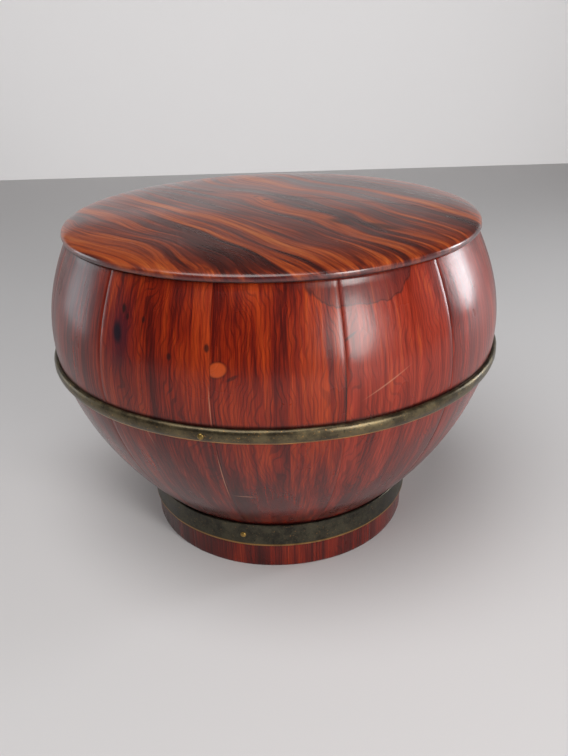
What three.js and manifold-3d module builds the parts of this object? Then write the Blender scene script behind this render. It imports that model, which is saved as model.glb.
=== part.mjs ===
// Lidded wooden bowl, coopered from staves that pins and two brass hoops hold together.
// Millimetres, +Z up. The bowl stands on z = 0 and its photographed side faces -Y.
// Angles run round the bowl from the front, which is -Y, towards +X.

import * as THREE from "three";
import { mergeVertices } from "three/addons/utils/BufferGeometryUtils.js";
import Module from "manifold-3d";

const wasm = await Module();
wasm.setup();
const { Manifold, Mesh: SolidMesh } = wasm;

const degree = Math.PI / 180;
const contactGap = 0.3;

// Outline of the vessel
const footRadius = 89;
const footHeight = 33;
const bellyRadius = 144;
const bellyHeight = 146;
const mouthRadius = 128.8;
const rimHeight = 205;
const flareOut = 22;
const flareUp = 21;
const lowerFullness = 46;
const upperFullness = 22;
const mouthLeanOut = 7.7;
const mouthLeanDown = 16;
const rimRound = 2;
const footChamfer = 1.5;

// Staves
const staveCount = 13;
const frontStaveAngle = 0.35 * degree;
const wall = 11;
const columnsPerStave = 6;
const lowerSteps = 9;
const upperSteps = 6;

// Edge pins, used between staves and between boards
const pinRadius = 2;
const pinLength = 16;
const pinSides = 8;
const stavePinHeight = 172;

// Bottom boards and the groove that holds them
const floorHeight = 20;
const floorThickness = 12;
const crozeDepth = 4;
const crozeLip = 3;
const floorJointOffset = 28;
const floorPinSpread = 45;

// Hoops
const bellyHoopHeight = 127;
const bellyHoopWidth = 9.3;
const bellyHoopEdge = 0.5;
const bellyHoopProud = 2.3;
const footHoopHeight = 24.8;
const footHoopWidth = 15.6;
const footHoopThickness = 1.5;
const footHoopChamfer = 0.4;

// Tacks that hold the hoops
const tackHeadRadius = 2;
const tackHeadHeight = 1;
const tackShankRadius = 0.8;
const tackShankLength = 8;
const tackPoint = 1.5;
const bellyTackOffset = 2.6 * degree;
const footTackOffset = 2.2 * degree;

// Lid
const lidRadius = 130.4;
const lidThickness = 8.4;
const lidEdge = 2.8;
const lidChamfer = 0.8;
const shoulderWidth = 32;
const shoulderRise = 5;
const crownReach = 40;
const lidGrainAngle = -24.5 * degree;
const lidJointOffset = 29;
const lidPinSpread = 90;
const lidPinHeight = 4.3;

// Battens under the lid and their pegs
const battenWidth = 18;
const battenDrop = 9;
const battenChamfer = 2;
const battenSpread = 58;
const housingDepth = 2;
const seatClearance = 2;
const pegRadius = 2.5;
const pegBite = 3;
const pegSpread = 70;

// Places that follow from the sizes
const pitch = 2 * Math.PI / staveCount;
const ringSegments = staveCount * columnsPerStave;
const firstJointAngle = frontStaveAngle - pitch / 2;
const footInnerRadius = footRadius - wall;
const crozeRadius = footInnerRadius + crozeDepth;
const floorTop = floorHeight + floorThickness;

// Finishes
const lacqueredWood = new THREE.MeshStandardMaterial({ color: 0x7a2a12, roughness: 0.25 });
const lidWood = new THREE.MeshStandardMaterial({ color: 0x6a2a18, roughness: 0.25 });
const plainWood = new THREE.MeshStandardMaterial({ color: 0x8a5a35, roughness: 0.6 });
const bamboo = new THREE.MeshStandardMaterial({ color: 0xc9ab6c, roughness: 0.7 });
const agedBrass = new THREE.MeshStandardMaterial({
  color: 0x8c8258,
  roughness: 0.38,
  metalness: 1,
});

// Solids and cuts

function asSolid(geometry) {
  const bare = geometry.clone();
  bare.deleteAttribute("normal");
  bare.deleteAttribute("uv");
  const merged = mergeVertices(bare);
  const corners = merged.index.array;
  const kept = [];
  for (let i = 0; i < corners.length; i += 3) {
    const [a, b, c] = [corners[i], corners[i + 1], corners[i + 2]];
    if (a !== b && b !== c && c !== a) {
      kept.push(a, b, c);
    }
  }
  return new Manifold(new SolidMesh({
    numProp: 3,
    vertProperties: new Float32Array(merged.attributes.position.array),
    triVerts: new Uint32Array(kept),
  }));
}

function asGeometry(solid) {
  const mesh = solid.getMesh();
  const geometry = new THREE.BufferGeometry();
  geometry.setAttribute("position", new THREE.BufferAttribute(mesh.vertProperties, 3));
  geometry.setIndex(new THREE.BufferAttribute(mesh.triVerts, 1));
  geometry.computeVertexNormals();
  return geometry;
}

function subtract(geometry, tools) {
  const start = asSolid(geometry);
  return asGeometry(tools.reduce((body, tool) => body.subtract(asSolid(tool)), start));
}

function intersect(geometry, tool) {
  return asGeometry(asSolid(geometry).intersect(asSolid(tool)));
}

// Shapes about the bowl's axis

function point(radius, height) {
  return new THREE.Vector2(radius, height);
}

function quarterRound(centre, radius, startAngle, steps) {
  const points = [];
  for (let step = 0; step <= steps; step++) {
    const angle = startAngle + step / steps * Math.PI / 2;
    points.push(point(
      centre.x + radius * Math.cos(angle),
      centre.y + radius * Math.sin(angle),
    ));
  }
  return points;
}

function ring(profile) {
  const loop = [...profile, profile[0]];
  const geometry = new THREE.LatheGeometry(loop, ringSegments, firstJointAngle);
  return geometry.rotateX(Math.PI / 2);
}

function turned(profile, segments, startAngle = 0) {
  return new THREE.LatheGeometry(profile, segments, startAngle).rotateX(Math.PI / 2);
}

function disc(radius, from, to, segments = ringSegments) {
  return new THREE.CylinderGeometry(radius, radius, to - from, segments)
    .rotateX(Math.PI / 2)
    .rotateZ(firstJointAngle)
    .translate(0, 0, (from + to) / 2);
}

// A profile loop swept through one pitch, with both end faces set back from the joints.
function sector(profile, setBack) {
  const positions = [];
  for (let column = 0; column <= columnsPerStave; column++) {
    for (const { x: radius, y: height } of profile) {
      const halfAngle = pitch / 2 - Math.asin(setBack / radius);
      const angle = halfAngle * (2 * column / columnsPerStave - 1);
      positions.push(radius * Math.sin(angle), -radius * Math.cos(angle), height);
    }
  }
  const count = profile.length;
  const index = [];
  for (let column = 0; column < columnsPerStave; column++) {
    for (let i = 0; i < count; i++) {
      const a = column * count + i;
      const b = column * count + (i + 1) % count;
      index.push(a, a + count, b, b, a + count, b + count);
    }
  }
  const last = columnsPerStave * count;
  for (const [a, b, c] of THREE.ShapeUtils.triangulateShape(profile, [])) {
    index.push(a, b, c, last + a, last + c, last + b);
  }
  const geometry = new THREE.BufferGeometry();
  geometry.setAttribute("position", new THREE.Float32BufferAttribute(positions, 3));
  geometry.setIndex(index);
  return geometry;
}

function radiusAt(points, height) {
  for (let i = 1; i < points.length; i++) {
    const [a, b] = [points[i - 1], points[i]];
    if ((a.y - height) * (b.y - height) <= 0) {
      return a.x + (b.x - a.x) * (height - a.y) / (b.y - a.y);
    }
  }
  return footRadius;
}

// Outline curves

const lowerCurve = new THREE.CubicBezierCurve(
  point(footRadius, footHeight),
  point(footRadius + flareOut, footHeight + flareUp),
  point(bellyRadius, bellyHeight - lowerFullness),
  point(bellyRadius, bellyHeight),
);
const upperCurve = new THREE.CubicBezierCurve(
  point(bellyRadius, bellyHeight),
  point(bellyRadius, bellyHeight + upperFullness),
  point(mouthRadius + mouthLeanOut, rimHeight - rimRound - mouthLeanDown),
  point(mouthRadius, rimHeight - rimRound),
);

function insetPoints(curve, steps) {
  const points = [];
  for (let step = 0; step <= steps; step++) {
    const place = curve.getPoint(step / steps);
    const along = curve.getTangent(step / steps);
    points.push(point(place.x - wall * along.y, place.y + wall * along.x));
  }
  return points;
}

const outside = [
  ...lowerCurve.getPoints(lowerSteps),
  ...upperCurve.getPoints(upperSteps).slice(1),
];
const inside = [
  ...insetPoints(lowerCurve, lowerSteps),
  ...insetPoints(upperCurve, upperSteps).slice(1),
];
const mouthInnerRadius = inside[inside.length - 1].x;

// Staves

const roundHeight = rimHeight - rimRound;
const staveProfile = [
  point(footInnerRadius, 0),
  point(footRadius - footChamfer, 0),
  point(footRadius, footChamfer),
  ...outside,
  ...quarterRound(point(mouthRadius - rimRound, roundHeight), rimRound, 0, 3).slice(1),
  ...quarterRound(point(mouthInnerRadius + rimRound, roundHeight), rimRound, Math.PI / 2, 3),
  ...inside.toReversed(),
  point(footInnerRadius, floorTop + crozeLip),
  point(footInnerRadius, floorTop + contactGap),
  point(crozeRadius, floorTop + contactGap),
  point(crozeRadius, floorHeight - contactGap),
  point(footInnerRadius, floorHeight - contactGap),
];

// A pin lying across a joint, at half the wall's thickness.
function stavePin(height, spare) {
  const middle = (radiusAt(outside, height) + radiusAt(inside, height)) / 2;
  const radius = pinRadius + spare;
  return new THREE.CylinderGeometry(radius, radius, pinLength + 2 * spare, pinSides)
    .rotateZ(Math.PI / 2)
    .translate(0, -middle, height);
}

const pinHoles = [-1, 1].map((side) => (
  stavePin(stavePinHeight, contactGap).rotateZ(side * pitch / 2)
));
const staveGeometry = subtract(sector(staveProfile, contactGap / 2), pinHoles);

// Hoops and tacks

function bellyHoopProfile() {
  const low = bellyHoopHeight - bellyHoopWidth / 2;
  const high = bellyHoopHeight + bellyHoopWidth / 2;
  const seat = (height) => radiusAt(outside, height) + contactGap;
  const points = [point(seat(low), low)];
  const steps = 6;
  for (let step = 0; step <= steps; step++) {
    const angle = (step / steps - 0.5) * Math.PI;
    const height = bellyHoopHeight + bellyHoopWidth / 2 * Math.sin(angle);
    const proud = bellyHoopEdge + bellyHoopProud * Math.cos(angle);
    points.push(point(seat(height) + proud, height));
  }
  points.push(point(seat(high), high), point(seat(bellyHoopHeight), bellyHoopHeight));
  return points;
}

function footHoopProfile() {
  const low = footHoopHeight - footHoopWidth / 2;
  const high = footHoopHeight + footHoopWidth / 2;
  const inner = footRadius + contactGap;
  const outer = inner + footHoopThickness;
  return [
    point(inner, low),
    point(outer - footHoopChamfer, low),
    point(outer, low + footHoopChamfer),
    point(outer, high - footHoopChamfer),
    point(outer - footHoopChamfer, high),
    point(inner, high),
  ];
}

const bellyHoopOuter = radiusAt(outside, bellyHoopHeight)
  + contactGap + bellyHoopEdge + bellyHoopProud;
const footHoopOuter = footRadius + contactGap + footHoopThickness;
const backStaveAngle = frontStaveAngle + Math.floor(staveCount / 2) * pitch;
const tacks = [
  {
    name: "belly_tack_front",
    seat: bellyHoopOuter,
    height: bellyHoopHeight,
    angle: firstJointAngle - bellyTackOffset,
  },
  {
    name: "belly_tack_back",
    seat: bellyHoopOuter,
    height: bellyHoopHeight,
    angle: backStaveAngle,
  },
  {
    name: "foot_tack_front",
    seat: footHoopOuter,
    height: footHoopHeight,
    angle: firstJointAngle - footTackOffset,
  },
  {
    name: "foot_tack_back",
    seat: footHoopOuter,
    height: footHoopHeight,
    angle: backStaveAngle,
  },
];

function tackGeometry({ seat, height }) {
  const profile = [
    point(0, -tackShankLength),
    point(tackShankRadius, tackPoint - tackShankLength),
    point(tackShankRadius, 0),
    point(tackHeadRadius, 0),
    point(0.75 * tackHeadRadius, 0.65 * tackHeadHeight),
    point(0, tackHeadHeight),
  ];
  return new THREE.LatheGeometry(profile, pinSides)
    .rotateX(Math.PI)
    .translate(0, -seat - contactGap, height);
}

function tackHole({ seat, height }) {
  const radius = tackShankRadius + contactGap;
  const length = tackShankLength + tackHeadHeight;
  return new THREE.CylinderGeometry(radius, radius, length, pinSides)
    .translate(0, -seat - tackHeadHeight + length / 2, height);
}

function hoopGeometry(profile, height) {
  const holes = tacks
    .filter((tack) => tack.height === height)
    .map((tack) => tackHole(tack).rotateZ(tack.angle));
  return subtract(ring(profile), holes);
}

// Boards with edge pins, laid along X and parted at two joints

function boardStrip(side, jointOffset, reach, from, to) {
  const edge = jointOffset - contactGap / 2;
  const width = side === 0 ? 2 * edge : reach - jointOffset;
  const centre = side === 0 ? 0 : side * (jointOffset + contactGap / 2 + width / 2);
  return new THREE.BoxGeometry(2 * reach, width, to - from)
    .translate(0, centre, (from + to) / 2);
}

function boardPins(jointOffset, spread, height, spare) {
  const radius = pinRadius + spare;
  const length = pinLength + 2 * spare;
  return [-1, 1].flatMap((side) => [-1, 1].map((end) => (
    new THREE.CylinderGeometry(radius, radius, length, pinSides)
      .translate(end * spread, side * jointOffset, height)
  )));
}

const boardNames = { "-1": "front", 0: "middle", 1: "back" };

// Lid, in its own frame with its underside at zero

const battenReach = mouthInnerRadius - seatClearance;
const pegTop = housingDepth + pegBite;

function lidProfile() {
  const shoulderEnd = point(lidRadius - shoulderWidth, lidEdge + shoulderRise);
  const shoulder = new THREE.QuadraticBezierCurve(
    point(lidRadius, lidEdge),
    point(lidRadius, lidEdge + 0.8 * shoulderRise),
    shoulderEnd,
  );
  const crown = new THREE.QuadraticBezierCurve(
    shoulderEnd,
    point(shoulderEnd.x - crownReach, lidThickness),
    point(0, lidThickness),
  );
  return [
    point(0, 0),
    point(lidRadius - lidChamfer, 0),
    point(lidRadius, lidChamfer),
    ...shoulder.getPoints(5),
    ...crown.getPoints(4).slice(1),
  ];
}

function battenGeometry(side) {
  const half = battenWidth / 2;
  const section = new THREE.Shape([
    point(-half, housingDepth),
    point(-half, battenChamfer - battenDrop),
    point(battenChamfer - half, -battenDrop),
    point(half - battenChamfer, -battenDrop),
    point(half, battenChamfer - battenDrop),
    point(half, housingDepth),
  ]);
  const bar = new THREE.ExtrudeGeometry(section, { depth: 2 * battenReach, bevelEnabled: false })
    .rotateX(Math.PI / 2)
    .translate(side * battenSpread, battenReach, 0);
  return intersect(bar, disc(battenReach, -battenDrop - 1, housingDepth + 1));
}

function battenHousing(side) {
  const top = housingDepth + contactGap;
  const width = battenWidth + 2 * contactGap;
  const slot = new THREE.BoxGeometry(width, 2 * lidRadius, 2 * top)
    .translate(side * battenSpread, 0, 0);
  return intersect(slot, disc(battenReach + contactGap, -2 * top, 2 * top));
}

function peg(side, end, spare) {
  const radius = pegRadius + spare;
  const bottom = -battenDrop - spare;
  const top = pegTop + spare;
  return new THREE.CylinderGeometry(radius, radius, top - bottom, pinSides)
    .rotateX(Math.PI / 2)
    .translate(side * battenSpread, end * pegSpread, (top + bottom) / 2);
}

const pegPlaces = [[-1, -1], [-1, 1], [1, -1], [1, 1]];
const pegHoles = pegPlaces.map(([side, end]) => peg(side, end, contactGap));
const lidCuts = [
  battenHousing(-1),
  battenHousing(1),
  ...boardPins(lidJointOffset, lidPinSpread, lidPinHeight, contactGap),
  ...pegHoles,
];

// Assembly

const bowl = new THREE.Group();
bowl.name = "lidded_bowl";
const vessel = new THREE.Group();
vessel.name = "vessel";
const lid = new THREE.Group();
lid.name = "lid";
lid.position.z = rimHeight + contactGap;
lid.rotation.z = lidGrainAngle;
bowl.add(vessel, lid);

function place(group, name, geometry, material, angle = 0) {
  const mesh = new THREE.Mesh(geometry, material);
  mesh.name = name;
  mesh.rotation.z = angle;
  group.add(mesh);
}

function turnBetween(from, to) {
  return Math.atan2(Math.sin(to - from), Math.cos(to - from));
}

for (let i = 0; i < staveCount; i++) {
  const label = String(i + 1).padStart(2, "0");
  const angle = frontStaveAngle + i * pitch;
  const holes = tacks
    .filter((tack) => Math.abs(turnBetween(angle, tack.angle)) < pitch / 2)
    .map((tack) => tackHole(tack).rotateZ(turnBetween(angle, tack.angle)));
  const geometry = holes.length > 0 ? subtract(staveGeometry, holes) : staveGeometry;
  place(vessel, `stave_${label}`, geometry, lacqueredWood, angle);
  const jointAngle = angle + pitch / 2;
  place(vessel, `stave_pin_${label}`, stavePin(stavePinHeight, 0), bamboo, jointAngle);
}

place(vessel, "belly_hoop", hoopGeometry(bellyHoopProfile(), bellyHoopHeight), agedBrass);
place(vessel, "foot_hoop", hoopGeometry(footHoopProfile(), footHoopHeight), agedBrass);
for (const tack of tacks) {
  place(vessel, tack.name, tackGeometry(tack), agedBrass, tack.angle);
}

const floorMiddle = floorHeight + floorThickness / 2;
const floorDisc = disc(crozeRadius - contactGap, floorHeight, floorTop);
const floorPinHoles = boardPins(floorJointOffset, floorPinSpread, floorMiddle, contactGap);
for (const side of [-1, 0, 1]) {
  const strip = boardStrip(side, floorJointOffset, footRadius, floorHeight - 1, floorTop + 1);
  const board = subtract(intersect(floorDisc, strip), floorPinHoles);
  place(vessel, `bottom_board_${boardNames[side]}`, board, plainWood);
}
boardPins(floorJointOffset, floorPinSpread, floorMiddle, 0).forEach((pin, i) => {
  place(vessel, `bottom_pin_${i + 1}`, pin, bamboo);
});

const lidBody = turned(lidProfile(), ringSegments, firstJointAngle);
for (const side of [-1, 0, 1]) {
  const strip = boardStrip(side, lidJointOffset, lidRadius + 1, -1, lidThickness + 1);
  const board = subtract(intersect(lidBody, strip), lidCuts);
  place(lid, `lid_board_${boardNames[side]}`, board, lidWood);
}
boardPins(lidJointOffset, lidPinSpread, lidPinHeight, 0).forEach((pin, i) => {
  place(lid, `lid_pin_${i + 1}`, pin, bamboo);
});
place(lid, "lid_batten_left", subtract(battenGeometry(-1), pegHoles), plainWood);
place(lid, "lid_batten_right", subtract(battenGeometry(1), pegHoles), plainWood);
pegPlaces.forEach(([side, end], i) => {
  place(lid, `batten_peg_${i + 1}`, peg(side, end, 0), bamboo);
});

export default bowl;
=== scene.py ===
"""Lidded wooden bowl: lacquered staves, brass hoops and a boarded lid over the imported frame."""
import math

import bmesh
import bpy
from mathutils import Matrix, Vector, noise
from mathutils.geometry import interpolate_bezier


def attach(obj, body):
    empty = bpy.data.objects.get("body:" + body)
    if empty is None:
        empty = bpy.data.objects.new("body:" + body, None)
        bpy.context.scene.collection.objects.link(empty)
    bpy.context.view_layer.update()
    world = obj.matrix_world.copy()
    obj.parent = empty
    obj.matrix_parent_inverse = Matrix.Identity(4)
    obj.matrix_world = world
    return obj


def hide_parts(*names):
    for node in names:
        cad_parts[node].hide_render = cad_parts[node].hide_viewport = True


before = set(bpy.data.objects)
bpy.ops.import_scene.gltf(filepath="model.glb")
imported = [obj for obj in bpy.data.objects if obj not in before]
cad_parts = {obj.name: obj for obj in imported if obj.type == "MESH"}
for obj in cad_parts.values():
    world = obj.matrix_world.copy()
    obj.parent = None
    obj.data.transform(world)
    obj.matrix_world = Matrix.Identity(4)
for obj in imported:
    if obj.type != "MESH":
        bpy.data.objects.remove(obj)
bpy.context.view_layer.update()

# Outline of the vessel, in metres, as the frame has it
FOOT_RADIUS = 0.089
FOOT_HEIGHT = 0.033
BELLY_RADIUS = 0.144
BELLY_HEIGHT = 0.146
MOUTH_RADIUS = 0.1288
RIM_HEIGHT = 0.205
RIM_ROUND = 0.002
# Eased bottom edge of the foot: distance in from the foot's radius, and height
FOOT_ARRIS = ((0.0012, 0), (0.0003, 0.0004), (0, 0.0014))
FLARE = (0.022, 0.021)
LOWER_FULLNESS = 0.046
UPPER_FULLNESS = 0.022
MOUTH_LEAN = (0.0077, 0.016)
WALL = 0.011
FLOOR_LOW = 0.020
FLOOR_HIGH = 0.032
CROZE_DEPTH = 0.004
CROZE_LIP = 0.003
CONTACT = 0.0003

# Staves
STAVE_COUNT = 13
PITCH = 2 * math.pi / STAVE_COUNT
FRONT_STAVE = math.radians(0.35)
JOINT_SETBACK = 0.00002
JOINT_BEVEL = 0.00008
STAVE_COLUMNS = 26
OUTLINE_STEPS = 30
SURFACE_WAVE = 0.00045
SURFACE_WAVE_SCALE = 17.0
STAVE_STEP = 0.00002

# Hoops and tacks
BELLY_HOOP_HEIGHT = 0.127
BELLY_HOOP_WIDTH = 0.0093
BELLY_HOOP_PROUD = 0.0028
FOOT_HOOP_HEIGHT = 0.0248
FOOT_HOOP_WIDTH = 0.0156
FOOT_HOOP_THICKNESS = 0.0015
FOOT_HOOP_CHAMFER = 0.0004
BELLY_HOOP_LOW = BELLY_HOOP_HEIGHT - BELLY_HOOP_WIDTH / 2
BELLY_HOOP_HIGH = BELLY_HOOP_HEIGHT + BELLY_HOOP_WIDTH / 2
FOOT_HOOP_LOW = FOOT_HOOP_HEIGHT - FOOT_HOOP_WIDTH / 2
FOOT_HOOP_HIGH = FOOT_HOOP_HEIGHT + FOOT_HOOP_WIDTH / 2
HOOP_STAND = 0.0004
HOOP_SWELL = 0.0003
HOOP_WANDER = 0.00025
TACK_RADIUS = 0.0019
TACK_RISE = 0.0011
TACK_SINK = 0.0003
FIRST_JOINT = FRONT_STAVE - PITCH / 2
BACK_STAVE = FRONT_STAVE + STAVE_COUNT // 2 * PITCH
BELLY_TACK = FIRST_JOINT - math.radians(2.6)
FOOT_TACK = FIRST_JOINT - math.radians(2.2)

# Lid
LID_BASE = RIM_HEIGHT + CONTACT
LID_RADIUS = 0.1304
LID_THICKNESS = 0.0084
LID_EDGE = 0.0028
LID_CHAMFER = 0.0008
SHOULDER = (0.032, 0.005)
CROWN_REACH = 0.040
LID_GRAIN = math.radians(-24.5)
LID_JOINT = 0.029
LID_COLUMNS = 220
LID_WAVE = 0.0005
# Half the width of each lid joint; -1 is the front joint, 1 the back one
LID_GAPS = {-1: 0.00002, 1: 0.00018}
# Joints that bound each board, with the side of the joint on which the board lies
LID_CUTS = {"front": ((-1, -1),), "middle": ((-1, 1), (1, -1)), "back": ((1, 1),)}

# Camera, found from the outline in the photograph
PICTURE_WIDTH = 568
FOCAL_PIXELS = 760
SENSOR = 36.0
CAMERA_DISTANCE = 0.4824
CAMERA_HEIGHT = 0.3215
CAMERA_PITCH = 0.4432
CAMERA_YAW = 0.0105
CAMERA_ROLL = -0.0282


# Outline and shaping

def vessel_outline():
    """Points (radius, height) of the outside, from the top of the foot to the rim."""
    foot = Vector((FOOT_RADIUS, FOOT_HEIGHT))
    belly = Vector((BELLY_RADIUS, BELLY_HEIGHT))
    rim = Vector((MOUTH_RADIUS, RIM_HEIGHT - RIM_ROUND))
    lower = interpolate_bezier(
        foot, foot + Vector(FLARE), belly - Vector((0, LOWER_FULLNESS)), belly, OUTLINE_STEPS)
    upper = interpolate_bezier(
        belly, belly + Vector((0, UPPER_FULLNESS)),
        rim + Vector((MOUTH_LEAN[0], -MOUTH_LEAN[1])), rim, OUTLINE_STEPS * 2 // 3)
    return [point.to_2d() for point in lower] + [point.to_2d() for point in upper[1:]]


OUTLINE = vessel_outline()


def radius_at(height):
    """Radius of the outside at a height; the foot is straight."""
    for low, high in zip(OUTLINE, OUTLINE[1:]):
        if low.y <= height <= high.y:
            return low.x + (high.x - low.x) * (height - low.y) / (high.y - low.y)
    return FOOT_RADIUS


def slope_at(height):
    """Angle by which the outside's normal points up from level."""
    step = 0.002
    return math.atan2(radius_at(height - step) - radius_at(height + step), 2 * step)


def quarter_round(radius, height, start, steps=6):
    """A quarter of the rim's rounding about (radius, height)."""
    angles = [start + step / steps * math.pi / 2 for step in range(steps + 1)]
    return [(radius + RIM_ROUND * math.cos(a), height + RIM_ROUND * math.sin(a)) for a in angles]


def stave_profile():
    """Closed section of a stave, with its groove for the bottom boards."""
    inner = []
    for low, high in zip(OUTLINE[::3], OUTLINE[3::3]):
        along = (high - low).normalized()
        inner.append(((low.x + high.x) / 2 - WALL * along.y, (low.y + high.y) / 2 + WALL * along.x))
    inner_mouth = inner[-1][0]
    foot_inner = FOOT_RADIUS - WALL
    croze = foot_inner + CROZE_DEPTH
    top = RIM_HEIGHT - RIM_ROUND
    foot_steps = [(FOOT_RADIUS, FOOT_HEIGHT * share) for share in (0.1, 0.3, 0.5, 0.7, 0.9)]
    return (
        [(foot_inner, 0)] + [(FOOT_RADIUS - inset, height) for inset, height in FOOT_ARRIS]
        + foot_steps
        + [tuple(point) for point in OUTLINE]
        + quarter_round(MOUTH_RADIUS - RIM_ROUND, top, 0)[1:]
        + quarter_round(inner_mouth + RIM_ROUND, top, math.pi / 2)
        + inner[::-1]
        + [(foot_inner, FLOOR_HIGH + CROZE_LIP), (foot_inner, FLOOR_HIGH + CONTACT)]
        + [(croze, FLOOR_HIGH + CONTACT), (croze, FLOOR_LOW - CONTACT)]
        + [(foot_inner, FLOOR_LOW - CONTACT)]
    )


def spun(profile, start, angle, steps, closed=True):
    """Spins a section of (radius, height) points about the bowl's axis."""
    bm = bmesh.new()
    verts = [bm.verts.new((r * math.sin(start), -r * math.cos(start), z)) for r, z in profile]
    ends = verts[1:] + verts[:1] if closed else verts[1:]
    edges = [bm.edges.new(pair) for pair in zip(verts, ends)]
    bmesh.ops.spin(
        bm, geom=verts + edges, cent=(0, 0, 0), axis=(0, 0, 1), angle=angle, steps=steps,
        use_merge=abs(angle - 2 * math.pi) < 1e-6, use_duplicate=False)
    bmesh.ops.remove_doubles(bm, verts=bm.verts, dist=2e-6)
    return bm


def outward(vert):
    """Level direction from the bowl's axis to a point."""
    return Vector((vert.co.x, vert.co.y, 0)).normalized()


def ripple(bm):
    """Moves each point in or out a little, as hand work leaves a surface."""
    for vert in bm.verts:
        vert.co += outward(vert) * SURFACE_WAVE * noise.noise(vert.co * SURFACE_WAVE_SCALE)


def swell(bm, scale):
    """Lifts patches of a hoop outwards, and never inwards into the wood."""
    for vert in bm.verts:
        vert.co += outward(vert) * max(0.0, HOOP_SWELL * noise.noise(vert.co * scale))


def add_piece(name, bm, finish, body, nodes, crease=38):
    """Makes the piece from its mesh, hides the frame's parts that it takes the place of, and hangs
    it on its body.
    """
    bmesh.ops.recalc_face_normals(bm, faces=bm.faces)
    mesh = bpy.data.meshes.new(name)
    bm.to_mesh(mesh)
    bm.free()
    mesh.shade_smooth()
    mesh.set_sharp_from_angle(angle=math.radians(crease))
    mesh.materials.append(finish)
    piece = bpy.data.objects.new(name, mesh)
    bpy.context.scene.collection.objects.link(piece)
    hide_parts(*nodes)
    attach(piece, body)


# Finishes

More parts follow.
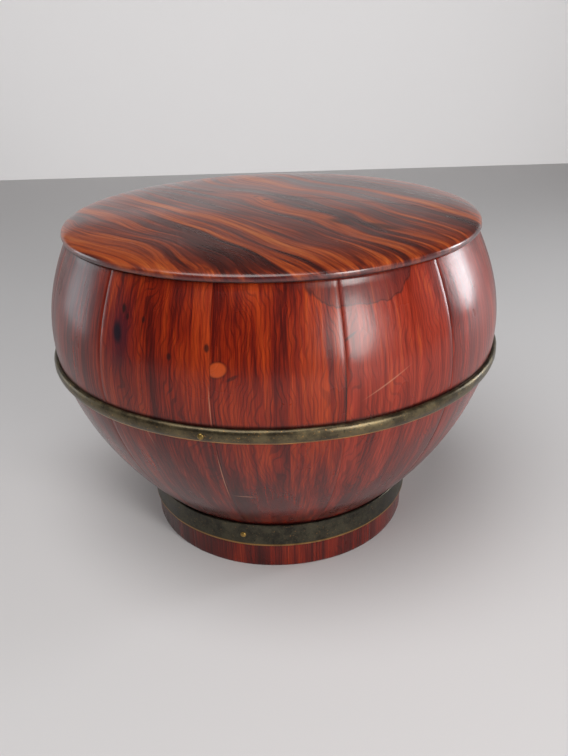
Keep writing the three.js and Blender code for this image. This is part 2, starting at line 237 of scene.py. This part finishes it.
class Finish:
    """One finish's nodes, with a short call for each kind of node that it uses."""

    def __init__(self, name):
        self.material = bpy.data.materials.new(name)
        self.material.use_nodes = True
        self.nodes = self.material.node_tree.nodes
        self.links = self.material.node_tree.links
        self.shader = self.nodes["Principled BSDF"]

    def feed(self, socket, value):
        if isinstance(value, bpy.types.NodeSocket):
            self.links.new(value, socket)
        elif value is not None:
            socket.default_value = value

    def calc(self, operation, first, second=None):
        node = self.nodes.new("ShaderNodeMath")
        node.operation = operation
        self.feed(node.inputs[0], first)
        self.feed(node.inputs[1], second)
        return node.outputs[0]

    def blend(self, factor, first, second, mode="MIX"):
        node = self.nodes.new("ShaderNodeMix")
        node.data_type = "RGBA"
        node.blend_type = mode
        self.feed(node.inputs[0], factor)
        self.feed(node.inputs[6], first)
        self.feed(node.inputs[7], second)
        return node.outputs[2]

    def place(self, vector, location=(0, 0, 0), turn=0.0, scale=(1, 1, 1), kind="POINT"):
        node = self.nodes.new("ShaderNodeMapping")
        node.vector_type = kind
        self.feed(node.inputs["Vector"], vector)
        node.inputs["Location"].default_value = location
        node.inputs["Rotation"].default_value = (0, 0, turn)
        node.inputs["Scale"].default_value = scale
        return node.outputs[0]

    def combine(self, x, y, z):
        node = self.nodes.new("ShaderNodeCombineXYZ")
        for socket, value in zip(node.inputs, (x, y, z)):
            self.feed(socket, value)
        return node.outputs[0]

    def split(self, vector):
        node = self.nodes.new("ShaderNodeSeparateXYZ")
        self.feed(node.inputs[0], vector)
        return node.outputs

    def cloud(self, vector, scale=1.0, detail=4.0, rough=0.55, warp=0.0):
        node = self.nodes.new("ShaderNodeTexNoise")
        self.feed(node.inputs["Vector"], vector)
        node.inputs["Scale"].default_value = scale
        node.inputs["Detail"].default_value = detail
        node.inputs["Roughness"].default_value = rough
        node.inputs["Distortion"].default_value = warp
        return node.outputs[0]

    def waves(self, vector, location, scale, warp):
        """Growth rings cut lengthwise: bands across X, pushed about a little."""
        node = self.nodes.new("ShaderNodeTexWave")
        self.feed(node.inputs["Vector"], self.place(vector, location, scale=scale))
        node.inputs["Scale"].default_value = 1.0
        node.inputs["Distortion"].default_value = warp
        node.inputs["Detail"].default_value = 2.0
        node.inputs["Detail Scale"].default_value = 1.4
        return node.outputs[1]

    def span(self, value, low, high, to_low=0.0, to_high=1.0):
        node = self.nodes.new("ShaderNodeMapRange")
        node.interpolation_type = "SMOOTHSTEP"
        self.feed(node.inputs["Value"], value)
        node.inputs["From Min"].default_value = low
        node.inputs["From Max"].default_value = high
        node.inputs["To Min"].default_value = to_low
        node.inputs["To Max"].default_value = to_high
        return node.outputs[0]

    def ramp(self, value, stops):
        node = self.nodes.new("ShaderNodeValToRGB")
        elements = node.color_ramp.elements
        while len(elements) < len(stops):
            elements.new(1.0)
        for element, (place, colour) in zip(elements, stops):
            element.position = place
            element.color = (*colour, 1)
        self.feed(node.inputs[0], value)
        return node.outputs[0]

    def weighted(self, first, *others):
        """Sum of values, each given with its weight."""
        total = self.calc("MULTIPLY", *first)
        for value, weight in others:
            total = self.calc("ADD", total, self.calc("MULTIPLY", value, weight))
        return total

    def tint(self, colour, mask, strength, tone):
        """Lays a plain tone over the colour where the mask is."""
        return self.blend(self.calc("MULTIPLY", mask, strength), colour, solid(tone))

    def distance(self, vector):
        node = self.nodes.new("ShaderNodeVectorMath")
        node.operation = "LENGTH"
        self.feed(node.inputs[0], vector)
        return node.outputs["Value"]

    def off_level(self, height, level):
        """How far a height is from a level, either way."""
        return self.calc("ABSOLUTE", self.calc("SUBTRACT", height, level))

    def mark(self, flat, centre, size, turn=0.0, blur=0.35):
        """One where flat, a (x, y, 0) place, is inside the ellipse; nought outside."""
        local = self.place(flat, (*centre, 0), turn, (*size, 1), "TEXTURE")
        return self.span(self.distance(local), 1 + blur, 1 - blur)

    def bump(self, height, strength, distance):
        node = self.nodes.new("ShaderNodeBump")
        node.inputs["Strength"].default_value = strength
        node.inputs["Distance"].default_value = distance
        self.feed(node.inputs["Height"], height)
        self.feed(self.shader.inputs["Normal"], node.outputs[0])

    def object_place(self):
        return self.nodes.new("ShaderNodeTexCoord").outputs["Object"]

    def gloss(self, colour, rough, coat=0.0, coat_rough=0.1, metal=0.0, shine=0.5):
        self.feed(self.shader.inputs["Base Color"], colour)
        self.feed(self.shader.inputs["Roughness"], rough)
        self.shader.inputs["Metallic"].default_value = metal
        self.shader.inputs["Specular IOR Level"].default_value = shine
        self.shader.inputs["Coat Weight"].default_value = coat
        self.shader.inputs["Coat Roughness"].default_value = coat_rough
        return self.material


def rgb(red, green, blue):
    """A colour written in 8-bit display values, as the shader's linear values."""
    def linear(value):
        share = value / 255
        return share / 12.92 if share <= 0.04045 else ((share + 0.055) / 1.055) ** 2.4
    return (linear(red), linear(green), linear(blue))


def solid(colour):
    return (*colour, 1)


MAROON = rgb(62, 12, 8)
REDWOOD = rgb(130, 32, 10)
RUSSET = rgb(172, 60, 18)
AMBER = rgb(204, 96, 32)
ROSE = rgb(160, 50, 28)
# The darkest brown is grime in the marks, joints and stain, and also painted shade above the hoops
# and at the lid's lower edge.
GRIME_AND_SHADE = rgb(26, 14, 14)
STAIN = rgb(52, 40, 44)
WEAR = rgb(196, 140, 112)

# How dark each stave is, from the front one on towards the right
STAVE_DEPTH = (
    0.0, -0.01, 0.01, 0.04, -0.02, 0.03, -0.01, 0.03, -0.03, 0.02, 0.04, 0.05, 0.01)
TONE_SHIFT = 0.15
ROSY_STAVES = (2, 3, 8)

# Half-moon stain under the rim: azimuth, and reach to each side, in degrees; drop in metres
STAIN_AZIMUTH = 19.7
STAIN_REACH = 13.8
STAIN_DROP = 0.0145


def stave_marks(finish, colour, flat, height, stave_angle):
    """Knots, chips, scratches and the half-moon stain, each at its place on the wall."""
    def spot(azimuth, z):
        turn = math.radians(azimuth) - stave_angle
        return (math.atan2(math.sin(turn), math.cos(turn)) * BELLY_RADIUS, z)

    def near(azimuth, reach=0.0):
        """Whether a mark that reaches so many degrees to each side touches this stave."""
        return abs(spot(azimuth, 0)[0]) < (PITCH / 2 + math.radians(reach)) * BELLY_RADIUS

    # Azimuth in degrees, height, half width, half height, turn, blur, colour, strength
    marks = (
        (-36.1, 0.1757, 0.0095, 0.0150, 0.0, 0.9, rgb(78, 26, 40), 0.55),
        (-36.1, 0.1757, 0.0030, 0.0055, 0.2, 0.5, rgb(22, 14, 26), 0.95),
        (-35.0, 0.1880, 0.0012, 0.0024, 0.1, 0.4, GRIME_AND_SHADE, 0.85),
        (-33.6, 0.1845, 0.0010, 0.0016, 0.0, 0.4, GRIME_AND_SHADE, 0.75),
        (-29.3, 0.1845, 0.0011, 0.0015, 0.0, 0.4, GRIME_AND_SHADE, 0.7),
        (-14.2, 0.1745, 0.0014, 0.0020, 0.0, 0.4, GRIME_AND_SHADE, 0.8),
        (-22.5, 0.1685, 0.0012, 0.0018, 0.0, 0.4, GRIME_AND_SHADE, 0.75),
        (15.4, 0.1775, 0.0045, 0.0007, 0.5, 0.4, GRIME_AND_SHADE, 0.7),
        (14.0, 0.1480, 0.0004, 0.0180, 0.0, 0.5, GRIME_AND_SHADE, 0.9),
        (-12.0, 0.1640, 0.0056, 0.0044, 0.3, 0.15, GRIME_AND_SHADE, 0.6),
        (-12.0, 0.1640, 0.0048, 0.0037, 0.3, 0.2, rgb(176, 72, 30), 0.95),
        (-9.0, 0.1600, 0.0034, 0.0009, 0.5, 0.4, GRIME_AND_SHADE, 0.6),
        (-13.9, 0.1430, 0.0003, 0.0100, 0.0, 0.6, WEAR, 0.45),
        (-13.8, 0.0920, 0.0003, 0.0170, 0.0, 0.6, WEAR, 0.55),
        (23.5, 0.1505, 0.0120, 0.0004, 0.45, 0.6, WEAR, 0.4),
        (-9.5, 0.0760, 0.0065, 0.0004, 0.0, 0.6, WEAR, 0.45),
        (-30.0, 0.1200, 0.0004, 0.0080, 0.2, 0.6, WEAR, 0.3),
    )
    for azimuth, z, wide, tall, turn, blur, tone, strength in marks:
        if near(azimuth):
            mask = finish.mark(flat, spot(azimuth, z), (wide, tall), turn, blur)
            colour = finish.tint(colour, mask, strength, tone)
    if near(STAIN_AZIMUTH, STAIN_REACH):
        wobble = finish.cloud(finish.place(flat, scale=(120, 60, 1)), detail=2)
        size = (math.radians(STAIN_REACH) * BELLY_RADIUS, STAIN_DROP, 1)
        centre = (*spot(STAIN_AZIMUTH, RIM_HEIGHT), 0)
        local = finish.place(flat, centre, 0, size, "TEXTURE")
        reach = finish.calc("ADD", finish.distance(local), finish.calc("MULTIPLY", wobble, 0.5))
        inside = finish.span(reach, 1.26, 1.16)
        line = finish.calc("MULTIPLY", finish.span(reach, 1.16, 1.21), inside)
        colour = finish.tint(colour, inside, 0.42, STAIN)
        colour = finish.tint(colour, line, 0.9, GRIME_AND_SHADE)
    return colour


def stave_finish(number):
    """Lacquered wood whose grain runs up the stave, with dirt along the joints and painted shade
    along the hoops' top edges.
    """
    angle = FRONT_STAVE + (number - 1) * PITCH
    finish = Finish(f"lacquered_stave_{number:02d}")
    x, y, height = finish.split(finish.place(finish.object_place(), turn=-angle))
    azimuth = finish.calc("ARCTAN2", x, finish.calc("MULTIPLY", y, -1))
    across = finish.calc("MULTIPLY", azimuth, BELLY_RADIUS)
    depth = finish.calc("SQRT", finish.calc(
        "ADD", finish.calc("MULTIPLY", x, x), finish.calc("MULTIPLY", y, y)))
    grain = finish.combine(across, depth, height)
    flat = finish.combine(across, height, 0.0)
    seed = (number * 3.7, number * 1.9, number * 5.3)
    broad = finish.cloud(finish.place(grain, seed, scale=(62, 14, 7)), detail=5, warp=0.5)
    streak = finish.cloud(
        finish.place(grain, seed, scale=(430, 60, 8)), detail=6, rough=0.7, warp=0.3)
    fibre = finish.cloud(finish.place(grain, seed, scale=(1500, 200, 26)), detail=3, rough=0.6)
    patch = finish.cloud(finish.place(grain, seed, scale=(24, 24, 13)), detail=3)
    tone = finish.weighted((broad, 0.58), (streak, 0.55), (patch, 0.22))
    low_shade = finish.span(height, 0.03, 0.15, 0.10, 0.0)
    tone = finish.calc("SUBTRACT", tone, low_shade)
    tone = finish.calc("SUBTRACT", tone, STAVE_DEPTH[number - 1] + TONE_SHIFT)
    warm = ROSE if number in ROSY_STAVES else RUSSET
    colour = finish.ramp(tone, (
        (0.30, MAROON), (0.42, rgb(92, 18, 10)), (0.50, REDWOOD), (0.62, warm), (0.82, AMBER)))
    sway = finish.calc("MULTIPLY", finish.calc("SUBTRACT", patch, 0.5), 0.045)
    rings = finish.waves(
        finish.combine(finish.calc("ADD", across, sway), depth, height), seed, (120, 10, 4), 1.3)
    ring_depth = finish.span(broad, 0.35, 0.65, 0.6, 0.25)
    dark_line = finish.calc("MULTIPLY", finish.span(rings, 0.30, 0.05), ring_depth)
    colour = finish.blend(dark_line, colour, solid(MAROON))
    pores = finish.span(fibre, 0.3, 0.7, 0.0, 0.30)
    colour = finish.blend(pores, colour, solid(MAROON), "MULTIPLY")
    colour = stave_marks(finish, colour, flat, height, angle)
    joint = finish.span(finish.calc("ABSOLUTE", azimuth), PITCH / 2 - 0.0045, PITCH / 2 - 0.001)
    breaks = finish.cloud(finish.place(grain, seed, scale=(1, 1, 30)))
    broken = finish.span(breaks, 0.40, 0.62, 0.02, 0.35)
    colour = finish.blend(finish.calc("MULTIPLY", joint, broken), colour, solid(GRIME_AND_SHADE))
    # Painted shade: a dark stripe on the wood along each hoop's top edge, where the gap between
    # hoop and wood lies in shadow.
    for edge in (BELLY_HOOP_HIGH, FOOT_HOOP_HIGH):
        off = finish.off_level(height, edge)
        colour = finish.blend(finish.span(off, 0.0026, 0.0004, 0.0, 0.85), colour, solid(GRIME_AND_SHADE))
    finish.bump(finish.weighted((streak, 0.7), (fibre, 0.3)), 0.22, 0.0006)
    rough = finish.span(patch, 0.3, 0.75, 0.24, 0.42)
    return finish.gloss(colour, rough, coat=0.3, coat_rough=0.18, shine=0.25)


def lid_finish():
    """Lacquered wood of the lid, streaked aslant, worn and pitted, with painted shade along its
    lower edge.
    """
    finish = Finish("lacquered_lid")
    place = finish.object_place()
    turned = finish.place(place, turn=math.radians(54))
    sway = finish.cloud(finish.place(turned, scale=(7, 10, 10)), detail=2)
    x, y, z = finish.split(turned)
    drift = finish.calc("MULTIPLY", finish.calc("SUBTRACT", sway, 0.5), 0.05)
    across = finish.calc("ADD", y, drift)
    grain = finish.combine(x, across, z)
    broad = finish.cloud(finish.place(grain, scale=(5, 80, 40)), detail=5, warp=0.5)
    streak = finish.cloud(finish.place(grain, scale=(9, 420, 150)), detail=6, rough=0.7, warp=0.4)
    fibre = finish.cloud(finish.place(grain, scale=(24, 1300, 500)), detail=3)
    tone = finish.weighted((broad, 0.70), (streak, 0.48))
    colour = finish.ramp(finish.calc("SUBTRACT", tone, 0.09), (
        (0.36, rgb(48, 14, 12)), (0.45, rgb(86, 26, 14)), (0.51, rgb(128, 44, 16)),
        (0.58, rgb(176, 76, 26)), (0.68, rgb(206, 112, 48))))
    pores = finish.span(fibre, 0.3, 0.7, 0.0, 0.3)
    colour = finish.blend(pores, colour, solid(MAROON), "MULTIPLY")
    flat_x, flat_y, height = finish.split(place)
    flat = finish.combine(flat_x, flat_y, 0.0)
    for centre, size, turn in (
            ((-0.0035, 0.018), (0.0022, 0.0016), 0.0), ((0.004, 0.010), (0.0026, 0.0018), 0.4),
            ((-0.010, 0.028), (0.0018, 0.0014), 0.0), ((0.062, -0.058), (0.013, 0.0045), -0.7),
            ((0.040, -0.046), (0.010, 0.0035), -0.9)):
        mask = finish.mark(flat, centre, size, turn, 0.5)
        colour = finish.tint(colour, mask, 0.7, GRIME_AND_SHADE)
    seam = finish.mark(flat, (0.043, 0.0124), (0.050, 0.0006), LID_GRAIN, 0.4)
    colour = finish.tint(colour, seam, 0.75, GRIME_AND_SHADE)
    edge = finish.span(height, LID_BASE + LID_EDGE + 0.0012, LID_BASE + LID_EDGE - 0.0008)
    colour = finish.tint(colour, edge, 0.55, rgb(70, 24, 34))
    # Painted shade: the lowest millimetre of the lid's edge and its underside darkened, where the
    # gap between lid and rim lies in shadow.
    under = finish.span(height, LID_BASE + 0.0012, LID_BASE + 0.0003)
    colour = finish.tint(colour, under, 0.9, GRIME_AND_SHADE)
    finish.bump(finish.weighted((streak, 0.7), (fibre, 0.3)), 0.18, 0.0005)
    rough = finish.span(broad, 0.3, 0.7, 0.26, 0.40)
    return finish.gloss(colour, rough, coat=0.55, coat_rough=0.13)


def brass_finish(name, dark, light, speckle, edge=None):
    """Aged brass: a dark skin, rubbed brighter in specks and along a hoop's lower edge."""
    finish = Finish(name)
    place = finish.object_place()
    skin = finish.cloud(place, scale=90, detail=6, rough=0.7)
    fine = finish.cloud(place, scale=700, detail=4, rough=0.7)
    colour = finish.blend(finish.span(skin, 0.35, 0.65), solid(dark), solid(light))
    colour = finish.blend(finish.span(fine, 0.60, 0.70, 0.0, 0.5), colour, solid(speckle))
    colour = finish.blend(finish.span(fine, 0.42, 0.32, 0.0, 0.7), colour, solid(rgb(34, 32, 24)))
    if edge is not None:
        height = finish.split(place)[2]
        rubbed = finish.span(finish.off_level(height, edge), 0.0014, 0.0005)
        worn = finish.span(skin, 0.3, 0.6, 0.5, 1.0)
        colour = finish.tint(colour, rubbed, worn, speckle)
    finish.bump(fine, 0.2, 0.0003)
    return finish.gloss(colour, finish.span(skin, 0.3, 0.7, 0.28, 0.46), metal=0.85)


def plain_wood_finish(name, dark, light, stretch):
    """Unlacquered wood with long grain."""
    finish = Finish(name)
    place = finish.object_place()
    streak = finish.cloud(finish.place(place, scale=stretch), detail=5, rough=0.6, warp=0.4)
    colour = finish.ramp(streak, ((0.3, dark), (0.7, light)))
    finish.bump(streak, 0.3, 0.0005)
    return finish.gloss(colour, finish.span(streak, 0.3, 0.7, 0.5, 0.7))


# Pieces

def make_staves():
    """The staves, each a little proud of or behind its neighbours."""
    profile = stave_profile()
    for number in range(1, STAVE_COUNT + 1):
        angle = FRONT_STAVE + (number - 1) * PITCH
        half = PITCH / 2 - JOINT_SETBACK / FOOT_RADIUS
        bm = spun(profile, angle - half, 2 * half, STAVE_COLUMNS)
        rims = [edge for edge in bm.edges if edge.is_boundary]
        ends = bmesh.ops.holes_fill(bm, edges=rims, sides=0)["faces"]
        arrises = list({edge for face in ends for edge in face.edges})
        bmesh.ops.bevel(
            bm, geom=arrises, offset=JOINT_BEVEL, affect="EDGES", segments=2, profile=0.5,
            material=-1, clamp_overlap=True)
        ripple(bm)
        step = STAVE_STEP * math.sin(number * 2.4)
        for vert in bm.verts:
            vert.co.xy *= 1 + step / BELLY_RADIUS
        label = f"{number:02d}"
        add_piece(f"shaped_stave_{label}", bm, stave_finish(number), "vessel",
                  [f"stave_{label}"])


def make_hoops():
    """The half-round belly hoop and the flat foot hoop."""
    section = [(radius_at(BELLY_HOOP_LOW) + CONTACT, BELLY_HOOP_LOW)]
    for step in range(15):
        angle = (step / 14 - 0.5) * math.pi
        height = BELLY_HOOP_HEIGHT + BELLY_HOOP_WIDTH / 2 * math.sin(angle)
        proud = CONTACT + HOOP_STAND + BELLY_HOOP_PROUD * math.cos(angle)
        section.append((radius_at(height) + proud, height))
    section.append((radius_at(BELLY_HOOP_HIGH) + CONTACT, BELLY_HOOP_HIGH))
    belly = spun(section, FIRST_JOINT, 2 * math.pi, 264)
    for vert in belly.verts:
        vert.co.z += HOOP_WANDER * noise.noise(vert.co * 35)
    swell(belly, 80)
    brass = brass_finish(
        "belly_brass", rgb(74, 66, 52), rgb(112, 100, 74), rgb(214, 156, 84),
        BELLY_HOOP_LOW + 0.0006)
    add_piece("half_round_hoop", belly, brass, "vessel", ["belly_hoop"])

    inner = FOOT_RADIUS + CONTACT
    outer = inner + FOOT_HOOP_THICKNESS
    low, high, edge = FOOT_HOOP_LOW, FOOT_HOOP_HIGH, FOOT_HOOP_CHAMFER
    band = [(inner, low), (outer - edge, low), (outer, low + edge)]
    band += [(outer, low + share * FOOT_HOOP_WIDTH) for share in (0.2, 0.4, 0.6, 0.8)]
    band += [(outer, high - edge), (outer - edge, high), (inner, high)]
    foot = spun(band, FIRST_JOINT, 2 * math.pi, 220)
    swell(foot, 60)
    brass = brass_finish(
        "foot_brass", rgb(52, 50, 44), rgb(82, 78, 64), rgb(168, 128, 76), low + edge)
    add_piece("flat_hoop", foot, brass, "vessel", ["foot_hoop"])


def make_tacks():
    """A domed tack head at the front and back of each hoop."""
    brass = brass_finish("tack_brass", rgb(120, 100, 56), rgb(190, 152, 82), rgb(226, 190, 110))
    belly_seat = radius_at(BELLY_HOOP_HEIGHT) + CONTACT + HOOP_STAND + BELLY_HOOP_PROUD
    foot_seat = FOOT_RADIUS + CONTACT + FOOT_HOOP_THICKNESS
    for name, angle, seat, height in (
            ("belly_tack_front", BELLY_TACK, belly_seat, BELLY_HOOP_HEIGHT),
            ("belly_tack_back", BACK_STAVE, belly_seat, BELLY_HOOP_HEIGHT),
            ("foot_tack_front", FOOT_TACK, foot_seat, FOOT_HOOP_HEIGHT),
            ("foot_tack_back", BACK_STAVE, foot_seat, FOOT_HOOP_HEIGHT)):
        bm = bmesh.new()
        bmesh.ops.create_uvsphere(bm, u_segments=24, v_segments=14, radius=TACK_RADIUS)
        bmesh.ops.bisect_plane(
            bm, geom=bm.verts[:] + bm.edges[:] + bm.faces[:], plane_co=(0, 0, -TACK_SINK),
            plane_no=(0, 0, -1), clear_outer=True)
        bmesh.ops.holes_fill(bm, edges=[edge for edge in bm.edges if edge.is_boundary])
        bmesh.ops.scale(bm, vec=(1, 1, TACK_RISE / TACK_RADIUS), verts=bm.verts)
        lay = Matrix.Rotation(math.pi / 2, 4, "X")
        out = Matrix.Translation((0, -seat, height))
        bm.transform(Matrix.Rotation(angle, 4, "Z") @ out @ lay)
        add_piece(f"domed_{name}", bm, brass, "vessel", [name])


def lid_section():
    """Half section of the lid from its underside to its crown, both ends on the axis."""
    edge_top = Vector((LID_RADIUS, LID_EDGE))
    shoulder_end = Vector((LID_RADIUS - SHOULDER[0], LID_EDGE + SHOULDER[1]))
    bend = Vector((LID_RADIUS, LID_EDGE + 0.8 * SHOULDER[1]))
    shoulder = interpolate_bezier(
        edge_top, edge_top.lerp(bend, 2 / 3), shoulder_end.lerp(bend, 2 / 3), shoulder_end, 18)
    crown_bend = Vector((shoulder_end.x - CROWN_REACH, LID_THICKNESS))
    crown_end = Vector((0, LID_THICKNESS))
    crown = interpolate_bezier(
        shoulder_end, shoulder_end.lerp(crown_bend, 2 / 3), crown_end.lerp(crown_bend, 2 / 3),
        crown_end, 26)
    points = [(0, 0), (0.06, 0), (LID_RADIUS - LID_CHAMFER, 0), (LID_RADIUS - 0.0003, 0.0004)]
    points += [(LID_RADIUS, LID_CHAMFER), (LID_RADIUS + 0.0002, LID_EDGE / 2)]
    points += [(point.x, point.y) for point in shoulder]
    points += [(max(point.x, 0.0), point.y) for point in crown[1:]]
    return [(radius, LID_BASE + height) for radius, height in points]


def make_lid():
    """Three lid boards cut from one turned disc along the grain."""
    finish = lid_finish()
    across = Matrix.Rotation(LID_GRAIN, 3, "Z") @ Vector((0, 1, 0))
    for name, cuts in LID_CUTS.items():
        bm = spun(lid_section(), 0.0, 2 * math.pi, LID_COLUMNS, closed=False)
        for vert in bm.verts:
            vert.co.z += LID_WAVE * noise.noise(vert.co * 14 + Vector((9, 0, 0)))
        for joint, keep in cuts:
            place = across * (joint * LID_JOINT + keep * LID_GAPS[joint])
            bmesh.ops.bisect_plane(
                bm, geom=bm.verts[:] + bm.edges[:] + bm.faces[:], dist=1e-7, plane_co=place,
                plane_no=-keep * across, clear_outer=True)
            rims = [edge for edge in bm.edges if edge.is_boundary]
            bmesh.ops.holes_fill(bm, edges=rims, sides=0)
        add_piece(f"turned_lid_board_{name}", bm, finish, "lid",
                  [f"lid_board_{name}"], crease=50)


def finish_hidden_nodes():
    """Bare wood and bamboo for the pieces that show only when the bowl is open."""
    board = plain_wood_finish("bare_board", rgb(78, 42, 24), rgb(134, 84, 52), (8, 90, 40))
    batten = plain_wood_finish("bare_batten", rgb(84, 48, 28), rgb(140, 90, 54), (90, 8, 40))
    bamboo = plain_wood_finish(
        "split_bamboo", rgb(160, 122, 70), rgb(206, 172, 112), (300, 300, 300))
    kinds = (("bottom_board", board), ("lid_batten", batten), ("stave_pin", bamboo),
             ("bottom_pin", bamboo), ("lid_pin", bamboo), ("batten_peg", bamboo))
    for name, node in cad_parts.items():
        for start, finish in kinds:
            if name.startswith(start):
                node.data.materials.clear()
                node.data.materials.append(finish)


# Stage, light and camera

def stage_surface(name, corner_low, corner_high, colour, glow=0.0):
    """A flat surface between two corners; a glow lifts it for the camera and reflections."""
    bm = bmesh.new()
    bmesh.ops.create_grid(bm, x_segments=1, y_segments=1, size=0.5)
    low, high = Vector(corner_low), Vector(corner_high)
    span = high - low
    if span.z:
        bmesh.ops.rotate(bm, matrix=Matrix.Rotation(math.pi / 2, 3, "X"), verts=bm.verts)
    bmesh.ops.scale(bm, vec=[length or 1 for length in span], verts=bm.verts)
    bmesh.ops.translate(bm, vec=(low + high) / 2, verts=bm.verts)
    mesh = bpy.data.meshes.new(name)
    bm.to_mesh(mesh)
    bm.free()
    finish = Finish(name)
    finish.gloss(solid(colour), 0.7)
    if glow:
        rays = finish.nodes.new("ShaderNodeLightPath")
        seen = finish.calc("MAXIMUM", rays.outputs["Is Camera Ray"], rays.outputs["Is Glossy Ray"])
        finish.shader.inputs["Emission Color"].default_value = solid(colour)
        finish.feed(finish.shader.inputs["Emission Strength"], finish.calc("MULTIPLY", seen, glow))
    mesh.materials.append(finish.material)
    surface = bpy.data.objects.new(name, mesh)
    bpy.context.scene.collection.objects.link(surface)


def camera_axes():
    """Sight line, right and up of the camera."""
    yaw, pitch, roll = CAMERA_YAW, CAMERA_PITCH, CAMERA_ROLL
    sight = Vector((
        math.sin(yaw) * math.cos(pitch), math.cos(yaw) * math.cos(pitch), -math.sin(pitch)))
    level = Vector((math.cos(yaw), -math.sin(yaw), 0))
    up = level.cross(sight)
    return (sight, math.cos(roll) * level + math.sin(roll) * up,
            math.cos(roll) * up - math.sin(roll) * level)


def make_camera():
    """The camera at the photograph's place."""
    sight, right, up = camera_axes()
    data = bpy.data.cameras.new("camera")
    data.sensor_fit = "HORIZONTAL"
    data.sensor_width = SENSOR
    data.lens = SENSOR * FOCAL_PIXELS / PICTURE_WIDTH
    camera = bpy.data.objects.new("camera", data)
    turn = Matrix((right, up, -sight)).transposed().to_4x4()
    camera.matrix_world = Matrix.Translation((0, -CAMERA_DISTANCE, CAMERA_HEIGHT)) @ turn
    bpy.context.scene.collection.objects.link(camera)
    bpy.context.scene.camera = camera


def soft_light(name, place, aim, size, power, colour=(1, 1, 1)):
    """An oval soft light that looks at a point."""
    data = bpy.data.lights.new(name, "AREA")
    data.shape = "ELLIPSE"
    data.size, data.size_y = size
    data.energy = power
    data.color = colour
    light = bpy.data.objects.new(name, data)
    light.location = place
    light.rotation_euler = (Vector(place) - Vector(aim)).to_track_quat("Z", "Y").to_euler()
    bpy.context.scene.collection.objects.link(light)


def mirrored_light(name, azimuth, height, distance, size, power, colour=(1, 1, 1)):
    """A soft light whose reflection shows on the wall at an azimuth and height."""
    turn = math.radians(azimuth)
    lean = slope_at(height)
    radius = radius_at(height)
    outward = Vector((math.sin(turn), -math.cos(turn), 0))
    spot = outward * radius + Vector((0, 0, height))
    normal = outward * math.cos(lean) + Vector((0, 0, math.sin(lean)))
    view = (Vector((0, -CAMERA_DISTANCE, CAMERA_HEIGHT)) - spot).normalized()
    mirrored = 2 * normal.dot(view) * normal - view
    soft_light(name, spot + mirrored * distance, spot, size, power, colour)


def make_stage():
    """Floor, back wall, lights and dim surroundings."""
    pale = rgb(214, 212, 212)
    side, back, wall_top = 3, 1.3, 0.52
    stage_surface("floor", (-side, -side, 0), (side, back, 0), pale)
    stage_surface("back_wall", (-side, back, 0), (side, back, wall_top), pale, 0.36)
    mirrored_light("window_light", 16.9, 0.180, 1.1, (0.34, 0.58), 8.5, (1.0, 0.98, 0.96))
    mirrored_light("right_light", 50.2, 0.1935, 1.1, (0.26, 0.46), 4.5, (0.92, 0.96, 1.0))
    mirrored_light("left_light", -52.0, 0.175, 1.3, (0.55, 1.1), 3.5, (0.90, 0.95, 1.0))
    soft_light("top_light", (-0.3, -0.5, 1.5), (0, 0, 0.1), (1.5, 1.5), 19)
    world = bpy.data.worlds.new("dim_room")
    bpy.context.scene.world = world
    world.use_nodes = True
    background = world.node_tree.nodes["Background"]
    background.inputs["Color"].default_value = solid(rgb(170, 166, 164))
    background.inputs["Strength"].default_value = 0.16


make_staves()
make_hoops()
make_tacks()
make_lid()
finish_hidden_nodes()
make_stage()
make_camera()
bpy.context.scene.view_settings.view_transform = "Standard"
